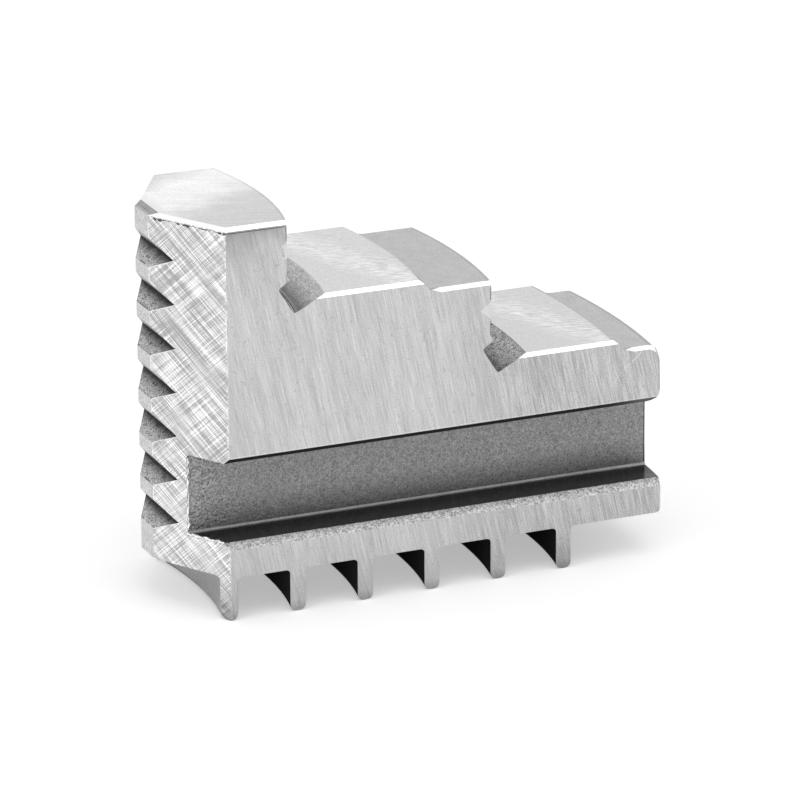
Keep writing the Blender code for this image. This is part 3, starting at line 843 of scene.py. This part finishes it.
def web_shade(tree, at):
    """Darker towards the root, as painted shade under the overhang, with a dark line at the rear edge."""
    up = measure(tree, at, (0, 0, 1))
    rearward = measure(tree, at, (1, 0, 0))
    low = profile(tree, up, [(9.0, 0.59), (10.2, 0.75), (12.5, 0.91), (17.0, 0.86)])
    rear = profile(tree, rearward, [(-26.0, 1.12), (-20.0, 1.0), (28.45, 1.0), (28.6, 0.3)])
    return product(tree, low, rear)


def web_height(tree, at):
    """Grain everywhere, and an orange peel of larger lumps that fades out behind the nose."""
    peel = profile(tree, measure(tree, at, (1, 0, 0)), [(-25.0, 9.0), (-21.0, 4.0), (-12.0, 0.0)])
    return total(tree, product(tree, grain(tree, at, 0.34, 1.0), peel), grain(tree, at, 0.2))


# Hardened steel, shot blasted: dull, even mid grey.
made["blasted_web"] = steel(
    "shot_blasted_steel", "#676767", "#bababa", web_tone, web_shade, height=web_height, roughness=0.55,
    bump=0.6, depth=0.03)
# Milled fillet that the blast missed: a lighter line along the foot of the web, a painted reflection
# of the bright surroundings on its curve.
made["web_root"] = steel("milled_fillet_painted_sheen", "#848484", "#a6a6a6", fine_grain(0.2))
print("web finishes ready")

# %% [markdown]
# ## Ledge and rail
#
# The ledge was lapped by the chuck's own guide until it shone; its dark colour is a painted reflection of
# the dark web. The overhang above it is painted dark too, as shade. The rail's upper edge was left as it
# came from the furnace, coarse and flaky.

# %% Finish: ledge and rail edge
def ledge_shade(tree, at):
    """Painted reflection of the dark web: nearly black against the root, dark grey towards the rail's edge.
    """
    outward = measure(tree, at, (0, 1, 0))
    return profile(tree, outward, [(6.4, 0.8), (7.6, 0.95), (9.6, 1.75)])


def rail_edge_shade(tree, at):
    """Darker along its upper line."""
    outward = measure(tree, at, (0, 1, 0))
    return profile(tree, outward, [(10.45, 0.66), (10.8, 0.9), (11.15, 1.05)])


def rail_edge_tone(tree, at):
    """Coarse grain of light and dark flakes."""
    plain = mixture(tree, at, 0.55, (0.2, 3.0), (0.6, 1.0))
    return product(tree, plain, pits(tree, at, 0.3, 0.1, -0.3))


# Hardened steel, lapped in use: glossy, painted dark as the reflection of the dark web, with oil that dulls
# its edges.
made["polished_ledge"] = steel(
    "lapped_steel_painted_reflection", "#424242", "#565656", fine_grain(0.7), ledge_shade, height=fine_grain(0.3),
    roughness=0.22, bump=0.1, depth=0.01, edge_tint="#dcdcdc")
# Hardened steel in the groove's shadow: painted dark grey, as shade.
made["dark_underside"] = steel(
    "underside_painted_shade", "#3a3a3a", "#4c4c4c", fine_grain(0.4), roughness=0.4, bump=0.2, depth=0.01)
# Hardened steel with flakes of scale: salt and pepper.
made["rough_rail_edge"] = steel(
    "furnace_steel_edge", "#8e8e8e", "#dcdcdc", rail_edge_tone, rail_edge_shade, bump=0.6, depth=0.04)
print("rail finishes ready")

# %% [markdown]
# ## Scroll teeth
#
# The teeth's flanks are painted nearly black, as shade. Only the first tooth's front, which faces the
# nose, was cleaned up with the wedge. The bottom of the rail, which nothing touches, is as milled.

# %% Finish: teeth and rail bottom
# Milled and hardened steel: plain grey. It is also what a face has that no other test claims.
made["milled"] = steel("milled_steel_grey", "#747474", "#949494", fine_grain(0.3))
# Tooth flanks in shade: painted nearly black, and dull even at a glancing angle.
made["tooth_flank"] = steel("tooth_flank_painted_shade", "#0d0d0d", "#181818", fine_grain(0.3), edge_tint="#b2b2b2")
# Milled steel, cleaned: mid grey.
made["first_tooth"] = steel(
    "milled_steel_first_tooth", "#888888", "#a8a8a8", fine_grain(0.25), roughness=0.45)
print("lower finishes ready")

# %% [markdown]
# ## The finishes go on
#
# Each finish becomes one material slot of the copy, and the sorted list says which slot a face takes.

# %% Give each face its finish
jaw.data.materials.clear()
for name in FINISHES:
    jaw.data.materials.append(made[name])
jaw.data.polygons.foreach_set("material_index", finish)
print(len(FINISHES), "finishes on", len(finish), "faces")

# %% [markdown]
# ## Edges
#
# No real edge is perfectly sharp. Every hard edge gets a tiny round, which catches the light, and
# weighted normals keep the big flats flat next to the small rounds.

# %% Round the edges
EDGE_ROUND = 0.05
SHARP_ANGLE = math.radians(24)
ROUND_ANGLE = math.radians(35)

jaw.data.shade_smooth()
jaw.data.set_sharp_from_angle(angle=SHARP_ANGLE)
bevel = jaw.modifiers.new("edge_rounds", "BEVEL")
bevel.width = EDGE_ROUND * MM
bevel.segments = 2
bevel.limit_method = "ANGLE"
bevel.angle_limit = ROUND_ANGLE
bevel.use_clamp_overlap = True
bevel.miter_outer = "MITER_SHARP"
weighted = jaw.modifiers.new("flat_faces", "WEIGHTED_NORMAL")
weighted.keep_sharp = True
weighted.weight = 90

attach(jaw, "root")
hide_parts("jaw")
print("edge rounds of", EDGE_ROUND, "mm")

# %% [markdown]
# ## Burrs and rims
#
# Grinding pushes a thin ragged burr over some edges. It catches the light as a white wavy line. Other
# edges get a dark ridge, painted dark as shade. Both are low ridges of metal along an edge, so one
# function makes them all: a six-sided section carried along a path, whose reach and height wander.

# %% Ridges along an edge
SINK = 0.004
KEEL = 0.03
STATION = 0.12
THINNEST = 0.003


def unit(vector):
    """The same direction with length one, row by row."""
    vector = np.asarray(vector, dtype=float)
    return vector / np.linalg.norm(vector, axis=-1, keepdims=True)


def straight(side, start, end):
    """Points about STATION apart between two points of the +Y side: start + share * (end - start).
    Y is then multiplied by side, which is 1 or -1."""
    start, end = np.array(start), np.array(end)
    count = max(4, int(np.linalg.norm(end - start) / STATION) + 1)
    share = np.linspace(0, 1, count)[:, None]
    return (start + (end - start) * share) * (1, side, 1)


def wander(path, low, high, lump, seed):
    """A random number from low to high for each point of a path, cut off just above 0.
    Random knots lie lump points apart, and straight lines join them."""
    knots = np.random.default_rng(seed).uniform(low, high, int(len(path) / lump) + 3)
    return np.maximum(np.interp(np.arange(len(path)) / lump, np.arange(len(knots)), knots), THINNEST)


def ridge(path, way_a, way_b, out, reach_a, reach_b, height):
    """A ridge on an edge. Its section at point p, with reach a and b along the two faces and height h:
    p + a A - sink, p + a A / 2 + 0.6 h out, p + h out, p + b B / 2 + 0.6 h out, p + b B - sink, p - keel.
    A reach or height is one size, or what wander asks for. Gives back vertices and four-sided faces."""
    way_a, way_b, out = (np.broadcast_to(unit(way), path.shape) for way in (way_a, way_b, out))
    sizes = (reach_a, reach_b, height)
    sizes = [wander(path, *size) if isinstance(size, tuple) else size for size in sizes]
    reach_a, reach_b, height = (np.broadcast_to(size, len(path))[:, None] for size in sizes)
    section = np.stack([
        path + way_a * reach_a - out * SINK,
        path + way_a * reach_a / 2 + out * height * 0.6,
        path + out * height,
        path + way_b * reach_b / 2 + out * height * 0.6,
        path + way_b * reach_b - out * SINK,
        path - out * KEEL], axis=1)
    first = np.arange(len(path) - 1)[:, None] * 6 + np.arange(6)
    second = np.arange(len(path) - 1)[:, None] * 6 + (np.arange(6) + 1) % 6
    walls = np.stack([first, second, second + 6, first + 6], axis=-1).reshape(-1, 4)
    last = (len(path) - 1) * 6
    ends = np.array([[0, 1, 2, 5], [2, 3, 4, 5], [last, last + 1, last + 2, last + 5],
                     [last + 2, last + 3, last + 4, last + 5]])
    return section.reshape(-1, 3), np.vstack([walls, ends])


def ridges_object(name, ridges, material):
    """Join ridges into one object, kept inside the CAD model's box, with its faces turned outwards."""
    offsets = np.cumsum([0] + [len(vertices) for vertices, faces in ridges[:-1]])
    vertices = np.vstack([vertices for vertices, faces in ridges]) * MM
    faces = np.vstack([faces + offset for (found, faces), offset in zip(ridges, offsets)])
    vertices = np.clip(vertices, np.array(cad_box[0]), np.array(cad_box[1]))
    mesh = bpy.data.meshes.new(name)
    mesh.from_pydata(vertices, [], faces)
    bm = bmesh.new()
    bm.from_mesh(mesh)
    bmesh.ops.recalc_face_normals(bm, faces=bm.faces)
    bm.to_mesh(mesh)
    bm.free()
    mesh.shade_smooth()
    mesh.materials.append(material)
    piece = new_object(name, mesh)
    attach(piece, "root")
    print(name, len(ridges), "ridges,", len(mesh.polygons), "faces")
    return piece


# %% [markdown]
# The bright burrs run down both edges of each wedge face and round the front of the web and ledge.

# %% Bright burrs
WEDGE_EDGES = [(18.8, 44.1), (5.2, 8.0)]
WEB_EDGE = (9.2, 17.6)
LEDGE_Z = RAIL_TOP_Z + 0.02

burrs = []
for side in (-1, 1):
    wedge_out = np.array([-COS_30, side * 0.5, 0.0])
    to_nose = np.array([-0.5, -side * COS_30, 0.0])
    for seed, (low, high) in enumerate(WEDGE_EDGES):
        path = straight(side, (SIDE_START_X, HALF_WIDTH, low), (SIDE_START_X, HALF_WIDTH, high))
        burrs.append(ridge(path, to_nose, (1, 0, 0), wedge_out, (-0.15, 0.3, 2, 10 + seed), 0.02,
                           (-0.01, 0.03, 2, 20 + seed)))
    low, high = WEB_EDGE
    path = straight(side, (WEB_START_X, HALF_WEB, low), (WEB_START_X, HALF_WEB, high))
    path[:, 0] += wander(path, 0.0, 0.16, 3, 31)
    burrs.append(ridge(path, to_nose, (1, 0, 0), (0, side, 0), (0.06, 0.2, 3, 32), (-0.1, 0.45, 3, 33),
                       (-0.03, 0.22, 3, 34)))
    path = straight(side, (WEB_START_X - 0.02, HALF_WEB + 0.1, LEDGE_Z),
                    (SIDE_START_X - 0.4, HALF_WIDTH - 0.7, LEDGE_Z))
    burrs.append(ridge(path, -wedge_out, (0, 0, -1), wedge_out + (0, 0, 1), (-0.1, 0.7, 2, 41),
                       (-0.1, 0.35, 2, 42), (-0.1, 0.5, 2, 43)))
print(len(burrs), "bright ridges")

# %% [markdown]
# Each V serration has a thin bright edge from the nose down to its root, and the nose flat between two
# of them has one at each side. The root is where the V's depth meets the sloping wedge.

# %% White edges of the serrations and the nose flat
NOSE_HALF = 1.95
SERRATIONS = 7
SERRATION_PITCH = 5.0
FIRST_ROOT_Z = TOP_Z - 4.85
SERRATION_DEPTH = 1.78
ROOT_XY = (NOSE_X + SERRATION_DEPTH, NOSE_HALF + SERRATION_DEPTH * math.sqrt(3))
SERRATION_FALL = 1.37
SERRATION_RISE = 2.0
FLAT_EDGE = 1.6

for index in range(SERRATIONS):
    root_z = FIRST_ROOT_Z - SERRATION_PITCH * index
    low = root_z + SERRATION_RISE
    high = min(low + FLAT_EDGE, TOP_Z - CHAMFER_HEIGHT)
    for side in (-1, 1):
        path = straight(side, (NOSE_X, NOSE_HALF, root_z - SERRATION_FALL), (*ROOT_XY, root_z))
        burrs.append(ridge(path, (0, 0, -1), (0, -side, 0), (-COS_30, side * 0.5, 0),
                           (0.03, 0.14, 3, 60 + index), 0.04, (0.004, 0.02, 3, 70 + index)))
        path = straight(side, (NOSE_X, NOSE_HALF, low), (NOSE_X, NOSE_HALF, high))
        burrs.append(ridge(path, (0, -side, 0), (0.5, side * COS_30, 0), (-1, side * 0.3, 0),
                           (0.03, 0.1, 3, 80 + index), (0.03, 0.2, 3, 90 + index),
                           (0.004, 0.015, 3, 95 + index)))
# Burrs of freshly ground steel: white, with a fine sparkle.
burr_steel = steel(
    "bright_steel_burr", "#e4e4e4", "#ffffff", fine_grain(0.12, 2.0), height=fine_grain(0.12),
    roughness=0.35, depth=0.01)
ridges_object("burrs", burrs, burr_steel)

# %% [markdown]
# The dark rims are low dark ridges, painted as shade along two edges: a ragged line under the wedge's
# chamfer, and the upright rear edge of the web.

# %% Dark rims
RIM_Z = TOP_Z - 0.51
WEB_REAR = [(0.05, 9.2), (0.1, 17.5)]


def rear_x(inset, y):
    """Place along the jaw, at y, of an arc that lies inset from the rear's: axis + sqrt(r r - y y)."""
    return AXIS_X + math.sqrt((REAR_RADIUS - inset) ** 2 - y ** 2)


rims = []
for side in (-1, 1):
    path = straight(side, (NOSE_X + 0.4, NOSE_HALF + 0.7, RIM_Z), (SIDE_START_X, HALF_WIDTH, RIM_Z))
    rims.append(ridge(path, (0, 0, -1), (0, 0, 1), (-1.7, side, 0), (-0.1, 0.35, 2, 8), 0.02, 0.008))
    path = straight(side, *[(rear_x(inset, HALF_WEB), HALF_WEB, z) for inset, z in WEB_REAR])
    rims.append(ridge(path, (-1, 0, 0), (0, -side, 0), (0.3, side, 0), 0.14, 0.05, 0.01))
# Dark steel along an edge, painted as shade: a dark ragged line.
rim_steel = steel(
    "dark_rim_painted_shade", "#2c2c2c", "#5a5a5a", fine_grain(0.2), roughness=0.45, bump=0.2, depth=0.01)
ridges_object("dark_rims", rims, rim_steel)

# %% [markdown]
# ## Floor
#
# The jaw lies in a white light tent, on white paper. The paper glows a little to the camera and in
# reflections, so that it reads as pure white, and keeps a soft shadow under the jaw.

# %% Floor
FLOOR_HALF = 4.0
PAPER_GLOW = 0.43


def looked_at(tree):
    """1 for rays from the camera and for those mirrored or let through by a piece, 0 for light."""
    path = add(tree, "ShaderNodeLightPath")
    kinds = ("Is Camera Ray", "Is Glossy Ray", "Is Transmission Ray")
    return greatest(tree, *[path.outputs[kind] for kind in kinds])


mesh = bpy.data.meshes.new("paper_floor")
corners = [(x * FLOOR_HALF, y * FLOOR_HALF, 0) for x, y in ((-1, -1), (1, -1), (1, 1), (-1, 1))]
mesh.from_pydata(corners, [], [(0, 1, 2, 3)])
new_object("paper_floor", mesh)

# Plain white paper: matt.
paper, tree, shader = new_material("white_paper")
shader.inputs["Base Color"].default_value = linear("#e8e8e8")
shader.inputs["Roughness"].default_value = 0.9
glow = add(tree, "ShaderNodeEmission", {"Strength": product(tree, looked_at(tree), PAPER_GLOW)})
both = add(tree, "ShaderNodeAddShader", {0: shader.outputs[0], 1: glow.outputs[0]})
tree.links.new(both.outputs[0], tree.nodes["Material Output"].inputs["Surface"])
mesh.materials.append(paper)
print("floor", 2 * FLOOR_HALF, "m wide")

# %% [markdown]
# ## World and lamps
#
# The tent's walls are the world: plain white to look at, and about half as strong as a lamp. One soft
# box hangs over the jaw and one stands beyond the nose, which lifts the wedge.

# %% World and lamps
TENT_LIGHT = 0.55

world = bpy.data.worlds.new("light_tent")
scene.world = world
world.use_nodes = True
tree = world.node_tree
tree.nodes["Background"].inputs["Color"].default_value = linear("#ffffff")
strength = profile(tree, looked_at(tree), [(0.0, TENT_LIGHT), (1.0, 1.0)])
tree.links.new(strength, tree.nodes["Background"].inputs["Strength"])


def soft_box(name, position, aim, width, power):
    """A square flat lamp at a position, in metres, facing the aim point."""
    data = bpy.data.lights.new(name, "AREA")
    data.size = width
    data.energy = power
    back = unit(np.array(position) - np.array(aim))
    right = unit(np.cross([0.0, 0.0, 1.0], back))
    put(new_object(name, data), right, np.cross(back, right), back, position)


soft_box("top_box", (0.05, -0.25, 0.9), (0, 0, 0.02), 0.7, 1.8)
soft_box("left_box", (-0.8, -0.25, 0.25), (0, 0, 0.02), 0.5, 2.0)
scene.view_settings.view_transform = "Standard"
print("two soft boxes")
